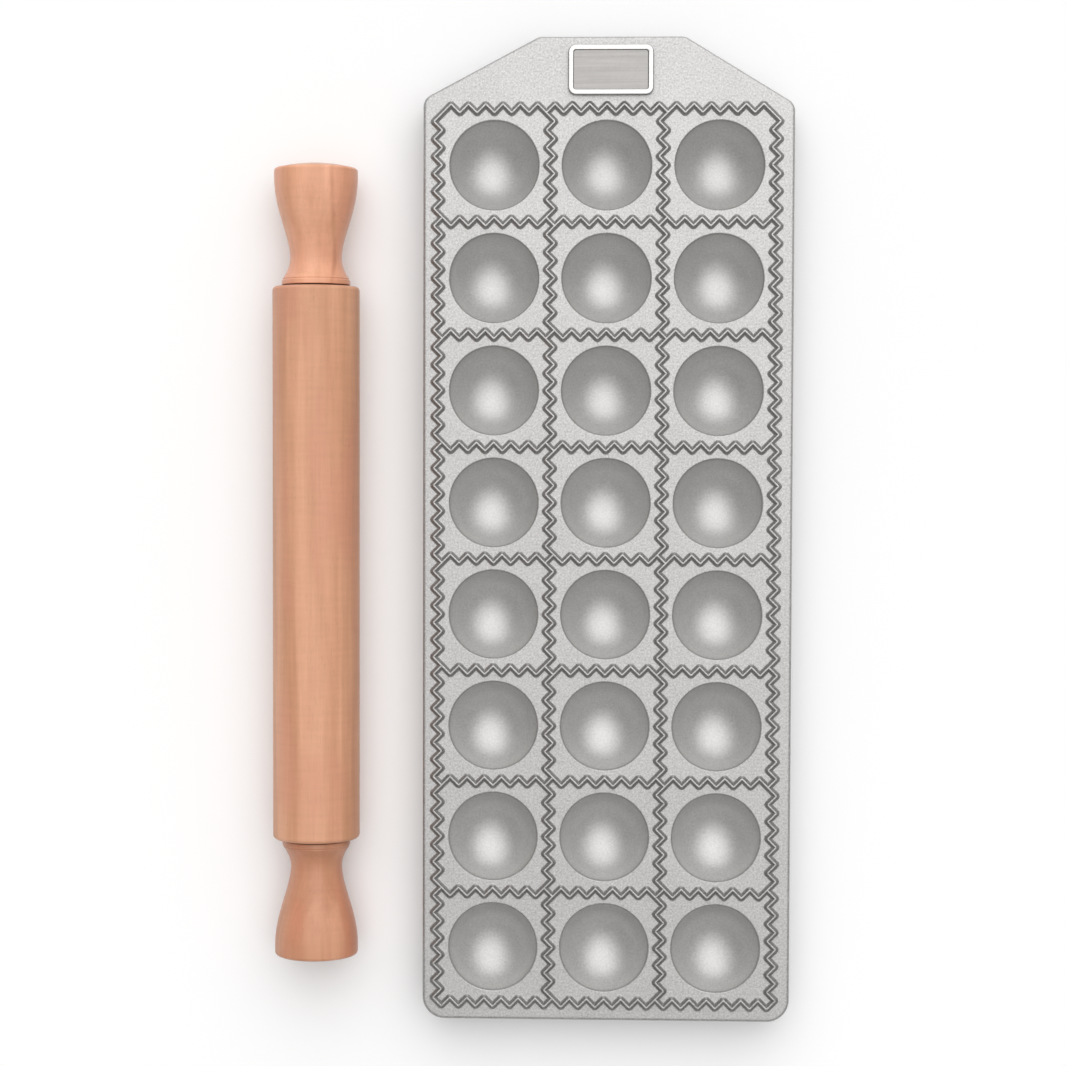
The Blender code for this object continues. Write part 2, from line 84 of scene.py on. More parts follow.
# Plate
LEFT_MARGIN = 4.7 * MM  # outer grid line to the side edge
FRONT_MARGIN = 5.65 * MM  # last grid line to the front edge
HEAD_FLAT = 45.4 * MM  # straight part of the head edge, between the shoulders
HEAD_ASIDE = 1.5 * MM  # middle of that part, to the right of the grid's middle
LEFT_DROP = 19.1 * MM  # how far the left shoulder comes down from the head edge
RIGHT_DROP = 20.8 * MM
FRONT_CORNER_RADIUS = 7.0 * MM
SHOULDER_RADIUS = 4.0 * MM
HEAD_CORNER_RADIUS = 4.0 * MM
PLATE_THICKNESS = 2.2 * MM
SKIRT_WALL = 2.2 * MM
EDGE_ROUND = 1.0 * MM  # rounding of the top edge
LEAST_CORNER = 0.3 * MM  # smallest corner radius of an outline moved inwards
SKIRT_ROUND = 0.4 * MM  # rounding of the skirt's lower edges

# Feet and their bosses
BOSS_DIAMETER = 8.0 * MM
BOSS_APART = 1.7 * MM  # space between a boss and the shell of the cup beside it
FOOT_DIAMETER = 9.0 * MM
FOOT_HEIGHT = 2.7 * MM
FOOT_ROUND = 0.7 * MM
STEM_DIAMETER = 4.0 * MM
STEM_LENGTH = 5.0 * MM
STEM_SPARE = 0.5 * MM  # depth of the stem hole beyond the stem

# Plaque
PLAQUE_CORNER = 2.4 * MM
PLAQUE_BEVEL = 0.35 * MM
PLAQUE_FRAME = 1.1 * MM  # width of its raised frame
PLAQUE_RECESS = 0.4 * MM  # depth of its field below the frame

# Pin
ROLLER_ROUND = 1.3 * MM
ROLLER_BORE_SPARE = 1.0 * MM  # air round the axle inside the roller
AXLE_DIAMETER = 6.0 * MM
AXLE_CHAMFER = 0.5 * MM
BUSH_WALL = 1.5 * MM
BUSH_LENGTH = 12.0 * MM
HANDLE_LENGTH = 38.0 * MM
HANDLE_GAP = 0.5 * MM  # running gap between a handle and the roller
HANDLE_HOLD = 20.0 * MM  # how deep the axle goes into a handle
COLLAR_DIAMETER = 21.4 * MM
COLLAR_ROUND = 0.25 * MM  # of its edge beside the roller
COLLAR_LIP = 1.6 * MM  # straight rim of the collar beside the roller
NECK_DIAMETER = 16.1 * MM
NECK_START = 0.7 * MM  # from the lip to where the neck's curve begins
NECK_AT = 8.5 * MM  # from the collar's face to the narrowest place
BULB_DIAMETER = 26.2 * MM
BULB_STRAIGHT = 1.7 * MM  # length of the widest part, before the end is rounded
SWELL_BIAS = 0.85  # below 1 the grip widens sooner behind the neck
HANDLE_ROUND = 1.1 * MM
DOME_RISE = 1.5 * MM
SEAT_GAP = 0.3 * MM  # between pieces that rest on or hold each other
RUN_GAP = 0.3 * MM  # between the axle and what turns on it

# Soft edge and groove behind a collar's lip: how far in from the collar, how far past the lip
COLLAR_BACK = (
    (0.00 * MM, -0.35 * MM),
    (0.08 * MM, -0.22 * MM),
    (0.20 * MM, 0.00 * MM),
    (0.38 * MM, 0.10 * MM),
    (0.38 * MM, 0.28 * MM),
    (0.30 * MM, 0.42 * MM),
)

# Facets
CUP_SIDES = 72
BOWL_RINGS = 16
RIM_RINGS = 4
BEND_STEPS = 4
SHELL_SIDES = 48
SHELL_RINGS = 8
BOSS_SIDES = 32
TURNED_SIDES = 112  # of the roller and the handles
SMALL_SIDES = 48  # of the feet, the axle and the bushes
CORNER_STEP = math.radians(5.0)
ROUND_STEPS = 6
BEVEL_STEPS = 4
SMALL_ROUND_STEPS = 3
NECK_STEPS = 12
SWELL_STEPS = 28
DOME_STEPS = 10

# Shading and filling of the meshes
SMOOTH_BELOW = math.radians(38.0)
FACE_WEIGHT = 60  # above 50, large faces count for more in the shading
INSIDE_OUTLINES = 1  # asks the triangulation for what lies inside the outlines
SAME_POINT = 1e-9

# Boxes of the frame, and what follows from them and from the sizes above
PLATE_LOW, PLATE_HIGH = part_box("mould_plate")
PLAQUE_LOW, PLAQUE_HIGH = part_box("plaque")
PLAQUE_FIELD = PLAQUE_HIGH.z - PLAQUE_LOW.z - PLAQUE_RECESS
PLATE_TOP = PLATE_HIGH.z - RIDGE_HEIGHT
UNDERSIDE = PLATE_TOP - PLATE_THICKNESS
GRID_X = PLATE_LOW.x + LEFT_MARGIN + GRID_WIDTH / 2
GRID_Y = PLATE_LOW.y + FRONT_MARGIN + GRID_LENGTH / 2
CUP_CENTRE = PLATE_TOP + CUP_SPHERE - CUP_DEPTH
SHELL_SPHERE = CUP_SPHERE + CUP_WALL
BOSS_END = FOOT_HEIGHT + SEAT_GAP
ROLLER_LOW, ROLLER_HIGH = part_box("roller")
PIN_CENTRE = (ROLLER_LOW + ROLLER_HIGH) / 2
ROLLER_RADIUS = (ROLLER_HIGH.z - ROLLER_LOW.z) / 2
ROLLER_END = (ROLLER_HIGH.y - ROLLER_LOW.y) / 2
BUSH_RADIUS = AXLE_DIAMETER / 2 + RUN_GAP + BUSH_WALL
BULB_AT = HANDLE_LENGTH - DOME_RISE - HANDLE_ROUND - BULB_STRAIGHT

# Where most values of a noise from 0 to 1 lie
NOISE_SPAN = (0.3, 0.7)
WIDE_SPAN = (0.25, 0.75)
NOISE_MIDDLE = 0.5

# Look of the casting
CAST_GREY = (0.560, 0.551, 0.541)
CREST_GREY = (0.54, 0.53, 0.52)
CAST_METALLIC = 0.66
CAST_SPECK = {"scale": 1700.0, "roughness": 0.7}
CAST_MOTTLE = {"scale": 60.0, "detail": 4.0, "roughness": 0.6}
CAST_DENTS = {"scale": 1500.0}
DENT_DEPTH = 0.02 * MM
CAST_TONE = 0.98  # tone before all shades
FLAT_GRAIN = 0.32  # how strongly the specks show on the flats
CUP_GRAIN = 0.16
MOTTLE_TONE = (-0.03, 0.03)
CAST_ROUGH = 0.41
CREST_ROUGH = 0.30
SPECK_ROUGH = (-0.04, 0.04)
CREST_START = 0.94  # share of a ridge's height
PAINTED_FLANK_SHADE = (  # painted shade up a ridge, from its foot to its crest, darkest high on the flanks
    (0.0, 1.0),
    (0.05, 0.82),
    (0.20, 0.64),
    (0.83, 0.50),
    (CREST_START, 1.0),
)
CUP_START = (-0.5 * MM, -0.1 * MM)  # heights between which a cup's look gives way to the flat's
SHADE_DEPTH = 5.0 * MM
CUP_SHADE = (  # tone from that depth up to the flat
    (0.0, 0.88),
    (0.5, 1.0),
    (0.78, 1.0),
    (0.84, 0.76),
    (0.95, 0.76),
    (1.0, 0.88),
)
SKIRT_PAINTED_SHADE = 0.55  # painted shade on its upright outer wall, which also deepens the floor's shadow before it
SKIRT_FACING = (0.1, 0.3)  # how far a face looks up, from the skirt's painted shade to the full tone
FRONT_PAINTED_SHADE = 0.86  # painted shade: tone of the flats and ridges at the front end of the grid
HEAD_PAINTED_SHADE = 0.98  # and at its head end

# Look of the plaque
FIELD_GREY = (0.30, 0.29, 0.28)
FRAME_GREY = (0.52, 0.51, 0.50)
PLAQUE_HAZE = {"scale": 500.0, "detail": 4.0, "roughness": 0.7}
BRUSH_LINES = {"scale": 1400.0, "detail": 3.0, "fineness": (0.03, 1.0, 1.0)}
BRUSH_DEPTH = 0.004 * MM
BRUSH_TONE = (-0.08, 0.08)
HAZE_TONE = (0.92, 1.05)
HAZE_ROUGH = (-0.03, 0.04)
FIELD_ROUGH = 0.34
FRAME_ROUGH = 0.16

# Look of the wood, each of its kinds with a pale, a dark and a reddish colour
TAN_WOOD = ((0.715, 0.37, 0.225), (0.545, 0.255, 0.14), (0.63, 0.285, 0.18))
PINK_WOOD = ((0.82, 0.42, 0.26), (0.66, 0.30, 0.165), (0.76, 0.34, 0.215))
RUSTY_WOOD = ((0.63, 0.305, 0.18), (0.49, 0.21, 0.11), (0.56, 0.215, 0.12))
ROLLER_COAT = 0.1
BACK_COAT = 0.4
FRONT_COAT = 0.3
COAT_ROUGH = 0.32
WOOD_ROUGH = (0.46, 0.58)
WOOD_SPECULAR = 0.45
WOOD_BANDS = {"scale": 170.0, "fineness": (1.0, 1.0, 0.06), "warp": 0.3}
BAND_SPAN = (0.35, 0.65)
BAND_SHARE = 0.85  # of the dark colour, where a band is darkest
WOOD_PATCHES = {"scale": 75.0, "fineness": (1.0, 1.0, 0.30)}
PATCH_SPAN = (0.45, 0.62)
PATCH_SHARE = 0.65  # of the reddish colour
WOOD_FIBRES = {"scale": 1700.0, "detail": 3.0, "roughness": 0.65, "fineness": (1.0, 1.0, 0.04)}
FIBRE_DEPTH = 0.03 * MM
FIBRE_TONE = 0.10
WOOD_CROSSING = {"scale": 700.0, "fineness": (0.12, 0.12, 1.0)}
CROSSING_TONE = 0.05
WOOD_FLECKS = {"scale": 2600.0, "detail": 1.0, "fineness": (1.0, 1.0, 0.14)}
FLECK_SPAN = (0.62, 0.74)
FLECK_TONE = -0.07

# Thin reddish vein in the back handle
VEIN_RED = (0.46, 0.175, 0.085)
VEIN_AT = 6.5 * MM  # its place along the piece's X
VEIN_SWAY = {"scale": 40.0, "fineness": (0.0, 0.0, 1.0)}
VEIN_WANDER = 3.0 * MM
VEIN_FADE = (0.10 * MM, 0.90 * MM)  # distances from its middle over which it fades
VEIN_BREAKS = {"scale": 90.0, "fineness": (0.0, 0.0, 1.0)}
BREAK_SPAN = (0.35, 0.65)
VEIN_STRENGTH = (0.05, 0.55)

# End grain of the wood
END_GRAIN = (0.80, 0.90, 0.98)  # red, green and blue, as shares of the side's colour
END_FACING = (0.75, 0.92)  # how far a face looks along the axis, from side to end
RING_WIDTH = 2.3 * MM
RING_NOISE = {"scale": 90.0}
RING_WANDER = 1.4 * MM  # the most that a ring strays
RING_PALE = 1.04  # tone where a year's ring begins
RING_FALL = -0.22  # how much darker it ends
RING_EDGE = 3.0  # above 1 the dark comes late in the ring
PITH = (9.0 * MM, -16.0 * MM, 0.0)  # middle of the rings, beside the piece
ACROSS = (1.0, 1.0, 0.0)  # leaves out the place along the axis

# Looks of the small pieces and the table
RUBBER_BLACK = (0.022, 0.022, 0.023)
RUBBER_DUSTY = (0.05, 0.05, 0.05)
RUBBER_DUST = {"scale": 900.0, "detail": 3.0}
DUST_SPAN = (0.35, 0.75)
DUST_DEPTH = 0.03 * MM
RUBBER_ROUGH = (0.62, 0.82)
NYLON_DARK = (0.78, 0.76, 0.70)
NYLON_PALE = (0.84, 0.83, 0.79)
NYLON_MARKS = {"scale": 2500.0, "fineness": (0.1, 0.1, 1.0)}
NYLON_DEPTH = 0.01 * MM
NYLON_ROUGH = (0.38, 0.5)
STEEL_GREY = (0.56, 0.57, 0.58)
STEEL_MARKS = {"scale": 3000.0, "detail": 3.0, "fineness": (0.1, 0.1, 1.0)}
STEEL_DEPTH = 0.005 * MM
STEEL_TONE = (0.92, 1.05)
STEEL_ROUGH = (0.2, 0.32)
TABLE_DARK = (0.93, 0.93, 0.93)
TABLE_PALE = (0.95, 0.95, 0.95)
TABLE_PATCHES = {"scale": 3.0}
TABLE_ROUGH = 0.9

# Sockets of a Mix node that mixes colours
MIX_SHARE = 0
MIX_FIRST = 6
MIX_SECOND = 7
MIX_RESULT = 2

# Camera and light
CAMERA_PLACE = (0.028299, 0.030382, 0.769614)
CAMERA_TURN = (-0.04055, 0.03686, 0.00295)
CAMERA_LENS = 81.35  # in millimetres, like the sensor
CAMERA_SENSOR = 36.0
SKY_LEVEL = 0.30  # brightness from every side
FRONT_LEVEL = 0.19  # added low down in front of the plate
FRONT_FADE = 2.0  # how fast that falls off away from the front
LAMP_LEVEL = 1.94
LAMP_SPREAD = math.radians(56.0)  # from its middle to where it has faded to about a third
LAMP_NARROW = 1.43  # how much narrower it is from side to side
LAMP_FADE = 3.7  # 2 fades like a bell, and more gives a flatter middle
LAMP_BACK = math.radians(31.0)  # from straight above, towards the head end
LAMP_RIGHT = math.radians(7.5)  # and towards the right
HORIZON_LEVEL = 0.68  # added in a thin band, so that the floor runs out into white
HORIZON_SPREAD = 0.045  # sine of the angle above the horizon where about a third is left
FLOOR_HALF = 40.0  # from its middle to each side


# Meshes


def from_bmesh(name, bm, material):
    """An object in the scene, made from a bmesh, which is freed."""
    mesh = bpy.data.meshes.new(name)
    bm.to_mesh(mesh)
    bm.free()
    mesh.materials.append(material)
    thing = bpy.data.objects.new(name, mesh)
    bpy.context.scene.collection.objects.link(thing)
    return thing


def solid(name, bm, material, node):
    """A piece from a closed bmesh, which stands for a CAD node."""
    bmesh.ops.recalc_face_normals(bm, faces=bm.faces)
    thing = from_bmesh(name, bm, material)
    thing.data.shade_smooth()
    thing.data.set_sharp_from_angle(angle=SMOOTH_BELOW)
    weighted = thing.modifiers.new("even_shading", "WEIGHTED_NORMAL")
    weighted.keep_sharp = True
    weighted.weight = FACE_WEIGHT
    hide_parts(node)
    return thing


def ring(bm, points, height):
    """Vertices at the given plane points, all at one height."""
    return [bm.verts.new((x, y, height)) for x, y in points]


def bridge(bm, first, second):
    """Quads between two closed rings that have as many vertices."""
    count = len(first)
    for i in range(count):
        after = (i + 1) % count
        bm.faces.new((first[i], first[after], second[after], second[i]))


def cone_to(bm, loop, tip):
    """Triangles from a closed ring to one vertex."""
    for i, corner in enumerate(loop):
        bm.faces.new((corner, loop[(i + 1) % len(loop)], tip))


def winding(loop):
    """Twice the signed area of a ring of vertices seen from above."""
    return sum(a.co.x * b.co.y - b.co.x * a.co.y for a, b in zip(loop, loop[1:] + loop[:1]))


def fill(bm, outer, holes=()):
    """Triangles over a flat region inside one closed ring and outside others."""
    corners = []
    outlines = []
    for loop in (outer, *holes):
        outlines.append(list(range(len(corners), len(corners) + len(loop))))
        corners.extend(loop if winding(loop) > 0 else reversed(loop))
    flat = [corner.co.xy for corner in corners]
    found = delaunay_2d_cdt(flat, [], outlines, INSIDE_OUTLINES, SAME_POINT)
    _, _, triangles, sources, _, regions = found
    for triangle, region in zip(triangles, regions):
        if region == [0]:  # inside the outer ring alone
            bm.faces.new([corners[sources[i][0]] for i in triangle])


def circle(centre, radius, sides):
    """Points round a centre, anticlockwise from +X."""
    turns = [2 * math.pi * i / sides for i in range(sides)]
    return [(centre[0] + radius * math.cos(t), centre[1] + radius * math.sin(t)) for t in turns]


def oblong(half_x, half_y):
    """Corners of an oblong round the origin, anticlockwise."""
    return [(-half_x, -half_y), (half_x, -half_y), (half_x, half_y), (-half_x, half_y)]


def rounded_outline(corners, radii, inset, step):
    """A convex anticlockwise outline moved inwards, with each corner turned into an arc."""
    points = []
    for i, corner in enumerate(corners):
        here = Vector(corner)
        before = (here - Vector(corners[i - 1])).normalized()
        after = (Vector(corners[(i + 1) % len(corners)]) - here).normalized()
        turn = before.angle(after)
        radius = max(radii[i] - inset, LEAST_CORNER)
        inwards = (after - before).normalized()
        centre = here + inwards * (inset + radius) / math.cos(turn / 2)
        start = math.atan2(-before.x, before.y)
        pieces = max(round(turn / step), 1)
        for j in range(pieces + 1):
            angle = start + turn * j / pieces
            points.append((centre.x + radius * math.cos(angle), centre.y + radius * math.sin(angle)))
    return points


def plate_outline(inset):
    """The plate seen from above, in the grid's frame: square front, slanted shoulders."""
    left = PLATE_LOW.x - GRID_X
    right = PLATE_HIGH.x - GRID_X
    front = PLATE_LOW.y - GRID_Y
    head = PLATE_HIGH.y - GRID_Y
    corners = [
        (left, front),
        (right, front),
        (right, head - RIGHT_DROP),
        (HEAD_ASIDE + HEAD_FLAT / 2, head),
        (HEAD_ASIDE - HEAD_FLAT / 2, head),
        (left, head - LEFT_DROP),
    ]
    front_radii = [FRONT_CORNER_RADIUS] * 2
    head_radii = [SHOULDER_RADIUS, HEAD_CORNER_RADIUS, HEAD_CORNER_RADIUS, SHOULDER_RADIUS]
    return rounded_outline(corners, front_radii + head_radii, inset, CORNER_STEP)


def cell_centres():
    """Middle of each cup in the grid's frame, row by row from the head end."""
    for row in range(ROWS):
        for column in range(COLUMNS):
            x = (column + 0.5) * CELL_PITCH - GRID_WIDTH / 2
            y = GRID_LENGTH / 2 - (row + 0.5) * CELL_PITCH
            yield x, y


class RidgeNet:
    """The zig-zag ridge lines as a net of short straight ridges.

    Every line swings half a step to either side of its grid line, at 45 degrees, so all
    bends lie on one square lattice, counted in steps across and down from the head end's
    left corner. Two lines that cross share one short ridge there, and a line ends on the
    last line that crosses it.
    """

    def __init__(self):
        self.neighbours = {}
        last_across = STEPS_PER_CELL * COLUMNS - COLUMNS % 2
        last_down = STEPS_PER_CELL * ROWS - ROWS % 2
        for line in range(COLUMNS + 1):
            self.join([(self.swing(line, down), down) for down in range(last_down + 1)])
        for line in range(ROWS + 1):
            self.join([(across, self.swing(line, across)) for across in range(last_across + 1)])
        for place, around in self.neighbours.items():
            around.sort(key=lambda other: self.bearing(place, other))

    @staticmethod
    def swing(line, along):
        """Where a zig-zag line is at a step along it: on either side of its grid line."""
        return STEPS_PER_CELL * line - (line + along) % 2

    def join(self, places):
        """Add one line of ridges, given its bends."""
        for here, there in zip(places, places[1:]):
            for a, b in ((here, there), (there, here)):
                around = self.neighbours.setdefault(a, [])
                if b not in around:
                    around.append(b)

    @staticmethod
    def position(place):
        """Plane position of a bend in the grid's frame."""
        x = -GRID_WIDTH / 2 + (place[0] + 0.5) * STEP
        y = GRID_LENGTH / 2 - (place[1] + 0.5) * STEP
        return Vector((x, y))

    def direction(self, place, other):
        """Unit vector from one bend to the next."""
        return (self.position(other) - self.position(place)).normalized()

    def bearing(self, place, other):
        """Angle of a ridge as it leaves a bend."""
        way = self.direction(place, other)
        return math.atan2(way.y, way.x)

    def ridge_before(self, place, other):
        """The next ridge clockwise round a bend."""
        around = self.neighbours[place]
        return around[around.index(other) - 1]

    def ridge_after(self, place, other):
        """The next ridge anticlockwise round a bend."""
        around = self.neighbours[place]
        return around[(around.index(other) + 1) % len(around)]

    def side_points(self, place, other, offset):
        """Points beside a bend, from the next ridge anticlockwise to this one.

        Ridges meet square, and their corner is turned into an arc, or they run straight
        on, which gives one point. The arc is wide on the outside of a bend.
        """
        here = self.direction(place, other)
        there = self.direction(place, self.ridge_after(place, other))
        corner = round(here.cross(there))
        if corner == 0:
            return [self.position(place) + here.orthogonal() * offset]
        bend_round = max(BEND_RADIUS - corner * offset * BEND_SPREAD, LEAST_BEND)
        centre = self.position(place) + (here + there) * (corner * offset + bend_round)
        points = []
        for i in range(BEND_STEPS + 1):
            turn = math.pi / 2 * i / BEND_STEPS
            points.append(centre - (here * math.cos(turn) + there * math.sin(turn)) * bend_round)
        return points

    def ridges(self):
        """Each ridge once in each direction."""
        return [(a, b) for a, around in self.neighbours.items() for b in around]

    def regions(self):
        """The ridge runs round each region, with the region on their left."""
        left = set(self.ridges())
        while left:
            first = min(left)
            run = [first]
            while True:
                here, there = run[-1]
                following = (there, self.ridge_before(there, here))
                if following == first:
                    break
                run.append(following)
            left.difference_update(run)
            yield run


def add_ridges(bm, net):
    """Flanks and crests of all ridges. Returns the base vertices beside each directed ridge."""
    levels = []
    for offset, height in RIDGE_SECTION:
        level = {}
        for ridge in net.ridges():
            points = net.side_points(*ridge, offset)
            level[ridge] = [bm.verts.new((*point, PLATE_TOP + height)) for point in points]
        levels.append(level)
    crest = levels[-1]
    for here, there in net.ridges():
        start = (here, there)
        end = (there, net.ridge_before(there, here))
        for lower, upper in zip(levels, levels[1:]):
            bm.faces.new((lower[start][-1], lower[end][0], upper[end][0], upper[start][-1]))
            for i in range(len(lower[start]) - 1):
                a, b = lower[start][i : i + 2]
                c, d = upper[start][i : i + 2]
                bm.faces.new((a, b, d, c))
        if here < there:
            right = (here, net.ridge_before(here, there))
            back = (there, here)
            bm.faces.new((crest[right][0], crest[back][-1], crest[end][0], crest[start][-1]))
    for place, around in net.neighbours.items():
        corners = []
        for other in around:
            corners.extend(crest[place, other][::-1])
        if len(corners) > 2:
            bm.faces.new(corners)
    return levels[0]


def add_bowl(bm, rim, centre, sphere, sphere_height, rim_angle, rings):
    """A spherical bowl inside a rim ring: rings of shrinking angle and a lowest point."""
    outer = rim
    for i in range(rings - 1, 0, -1):
        angle = rim_angle * i / rings
        height = sphere_height - sphere * math.cos(angle)
        inner = ring(bm, circle(centre, sphere * math.sin(angle), len(rim)), height)
        bridge(bm, outer, inner)
        outer = inner
    cone_to(bm, outer, bm.verts.new((*centre, sphere_height - sphere)))


def add_cup(bm, centre):
    """A cup with its rounded rim. Returns the ring where the rim leaves the flat."""
    reach = CUP_SPHERE + RIM_ROUND
    drop = CUP_CENTRE - PLATE_TOP + RIM_ROUND
    out = math.sqrt(reach**2 - drop**2)
    sweep = math.atan2(out, drop)
    outer = ring(bm, circle(centre, out, CUP_SIDES), PLATE_TOP)
    rim = outer
    for i in range(1, RIM_RINGS + 1):
        angle = sweep * i / RIM_RINGS
        radius = out - RIM_ROUND * math.sin(angle)
        height = PLATE_TOP - RIM_ROUND * (1 - math.cos(angle))
        inner = ring(bm, circle(centre, radius, CUP_SIDES), height)
        bridge(bm, rim, inner)
        rim = inner
    add_bowl(bm, rim, centre, CUP_SPHERE, CUP_CENTRE, sweep, BOWL_RINGS)
    return outer


def add_top(bm, edge):
    """The top of the plate: ridges, the flats between them, and the cups."""
    net = RidgeNet()
    base = add_ridges(bm, net)
    loops = [[vertex for ridge in run for vertex in base[ridge]] for run in net.regions()]
    border = min(loops, key=winding)
    fill(bm, edge, [border])
    cells = [loop for loop in loops if loop is not border]
    for centre in cell_centres():
        middle = Vector((*centre, PLATE_TOP))
        cell = min(cells, key=lambda loop: min((v.co - middle).length for v in loop))
        fill(bm, cell, [add_cup(bm, centre)])
        cells.remove(cell)


def shell_radius():
    """Radius of a cup's outer shell where it meets the plate's underside."""
    return math.sqrt(SHELL_SPHERE**2 - (CUP_CENTRE - UNDERSIDE) ** 2)


def boss_centres():
    """Middle of each foot boss in the grid's frame, by the name of its corner."""
    diagonal = shell_radius() + BOSS_APART + BOSS_DIAMETER / 2
    x = (GRID_WIDTH - CELL_PITCH) / 2 + diagonal / math.sqrt(2)
    y = (GRID_LENGTH - CELL_PITCH) / 2 + diagonal / math.sqrt(2)
    return {
        "front_left": (-x, -y),
        "front_right": (x, -y),
        "back_left": (-x, y),
        "back_right": (x, y),
    }


def add_boss(bm, root, centre):
    """A boss that hangs from a ring in the underside, with a blind hole for a foot's stem."""
    hole_radius = STEM_DIAMETER / 2 + SEAT_GAP
    hole_top = BOSS_END + STEM_LENGTH - SEAT_GAP + STEM_SPARE
    end = ring(bm, circle(centre, BOSS_DIAMETER / 2, BOSS_SIDES), BOSS_END)
    mouth = ring(bm, circle(centre, hole_radius, BOSS_SIDES), BOSS_END)
    bottom = ring(bm, circle(centre, hole_radius, BOSS_SIDES), hole_top)
    bridge(bm, root, end)
    bridge(bm, end, mouth)
    bridge(bm, mouth, bottom)
    fill(bm, bottom)


def add_underside(bm, edge):
    """The underside inside the skirt: shells of the cups and the foot bosses."""
    shells = []
    angle = math.acos((CUP_CENTRE - UNDERSIDE) / SHELL_SPHERE)
    for centre in cell_centres():
        root = ring(bm, circle(centre, shell_radius(), SHELL_SIDES), UNDERSIDE)
        add_bowl(bm, root, centre, SHELL_SPHERE, CUP_CENTRE, angle, SHELL_RINGS)
        shells.append(root)
    bosses = []
    for centre in boss_centres().values():
        root = ring(bm, circle(centre, BOSS_DIAMETER / 2, BOSS_SIDES), UNDERSIDE)
        add_boss(bm, root, centre)
        bosses.append(root)
    fill(bm, edge, shells + bosses)


def quarter_round(radius, steps):
    """How far in and how far down a quarter round goes, from its top to its side."""
    turns = [math.pi / 2 * i / steps for i in range(steps + 1)]
    return [(radius * (1 - math.sin(t)), radius * (1 - math.cos(t))) for t in turns]


def make_mould_plate(material):
    """The casting: plate, skirt, cups, ridges and bosses in one piece."""
    bm = bmesh.new()
    levels = [(inset, PLATE_TOP - down) for inset, down in quarter_round(EDGE_ROUND, ROUND_STEPS)]
    skirt_end = PLATE_LOW.z
    rounding = quarter_round(SKIRT_ROUND, SMALL_ROUND_STEPS)
    levels += [(inset, skirt_end + up) for inset, up in reversed(rounding)]
    levels += [(SKIRT_WALL - inset, skirt_end + up) for inset, up in rounding]
    levels.append((SKIRT_WALL, UNDERSIDE))
    rings = [ring(bm, plate_outline(inset), height) for inset, height in levels]
    for upper, lower in zip(rings, rings[1:]):
        bridge(bm, upper, lower)
    add_top(bm, rings[0])
    add_underside(bm, rings[-1])
    plate = solid("mould_plate_fine", bm, material, "mould_plate")
    plate.location = (GRID_X, GRID_Y, 0.0)
    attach(plate, "mould")


def make_plaque(material):
    """A plain oblong plaque with a raised frame round an empty field."""
    half_x = (PLAQUE_HIGH.x - PLAQUE_LOW.x) / 2
    half_y = (PLAQUE_HIGH.y - PLAQUE_LOW.y) / 2
    thick = PLAQUE_HIGH.z - PLAQUE_LOW.z
    corners = oblong(half_x, half_y)
    levels = [(0.0, 0.0)]
    outer = quarter_round(PLAQUE_BEVEL, BEVEL_STEPS)
    levels += [(inset, thick - down) for inset, down in reversed(outer)]
    middle = PLAQUE_BEVEL + PLAQUE_FRAME + PLAQUE_RECESS / 2
    inner = quarter_round(PLAQUE_RECESS / 2, SMALL_ROUND_STEPS)
    levels += [(middle - inset, thick - down) for inset, down in inner]
    levels += [(middle + inset, PLAQUE_FIELD + up) for inset, up in reversed(inner[:-1])]
    bm = bmesh.new()
    rings = []
    for inset, height in levels:
        outline = rounded_outline(corners, [PLAQUE_CORNER] * 4, inset, CORNER_STEP)
        rings.append(ring(bm, outline, height))
    for lower, upper in zip(rings, rings[1:]):
        bridge(bm, lower, upper)
    fill(bm, rings[0])
    fill(bm, rings[-1])
    plaque = solid("plaque_fine", bm, material, "plaque")
    place = (PLAQUE_LOW + PLAQUE_HIGH) / 2
    plaque.location = (place.x, place.y, PLAQUE_LOW.z)
    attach(plaque, "mould")


def turned(name, profile, sides, material, node):
    """A solid of revolution round Z from (radius, height) points.

    A profile that starts and ends on the axis gives a closed body. Any other profile is
    closed back to its first point, which leaves a bore along the axis.
    """
    bm = bmesh.new()
    solid_core = profile[0][0] == 0.0 and profile[-1][0] == 0.0
    inner = profile[1:-1] if solid_core else profile
    rings = [ring(bm, circle((0.0, 0.0), radius, sides), height) for radius, height in inner]
    for lower, upper in zip(rings, rings[1:]):
        bridge(bm, lower, upper)
    if solid_core:
        cone_to(bm, rings[0], bm.verts.new((0.0, 0.0, profile[0][1])))
        cone_to(bm, rings[-1], bm.verts.new((0.0, 0.0, profile[-1][1])))
    else:
        bridge(bm, rings[-1], rings[0])
    return solid(name, bm, material, node)


def make_feet(material):
    """Four rubber buttons, each pushed by its stem into a boss."""
    radius = FOOT_DIAMETER / 2
    stem = STEM_DIAMETER / 2
    profile = [(0.0, 0.0)]
    profile += [(radius - inset, up) for inset, up in quarter_round(FOOT_ROUND, ROUND_STEPS)]
    profile += [
        (radius, FOOT_HEIGHT),
        (stem, FOOT_HEIGHT),
        (stem, FOOT_HEIGHT + STEM_LENGTH),
        (0.0, FOOT_HEIGHT + STEM_LENGTH),
    ]
    for corner, (x, y) in boss_centres().items():
        node = f"foot_{corner}"
        foot = turned(f"{node}_fine", profile, SMALL_SIDES, material, node)
        foot.location = (GRID_X + x, GRID_Y + y, 0.0)
        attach(foot, "mould")


def on_pin(piece, end, body):
    """Lay a turned piece along the pin's axis, its top towards one end, and let it ride."""
    turn = math.pi / 2 if end == "front" else -math.pi / 2
    piece.rotation_euler = (turn, 0.0, 0.0)
    piece.location = PIN_CENTRE
    bpy.context.view_layer.update()
    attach(piece, body)


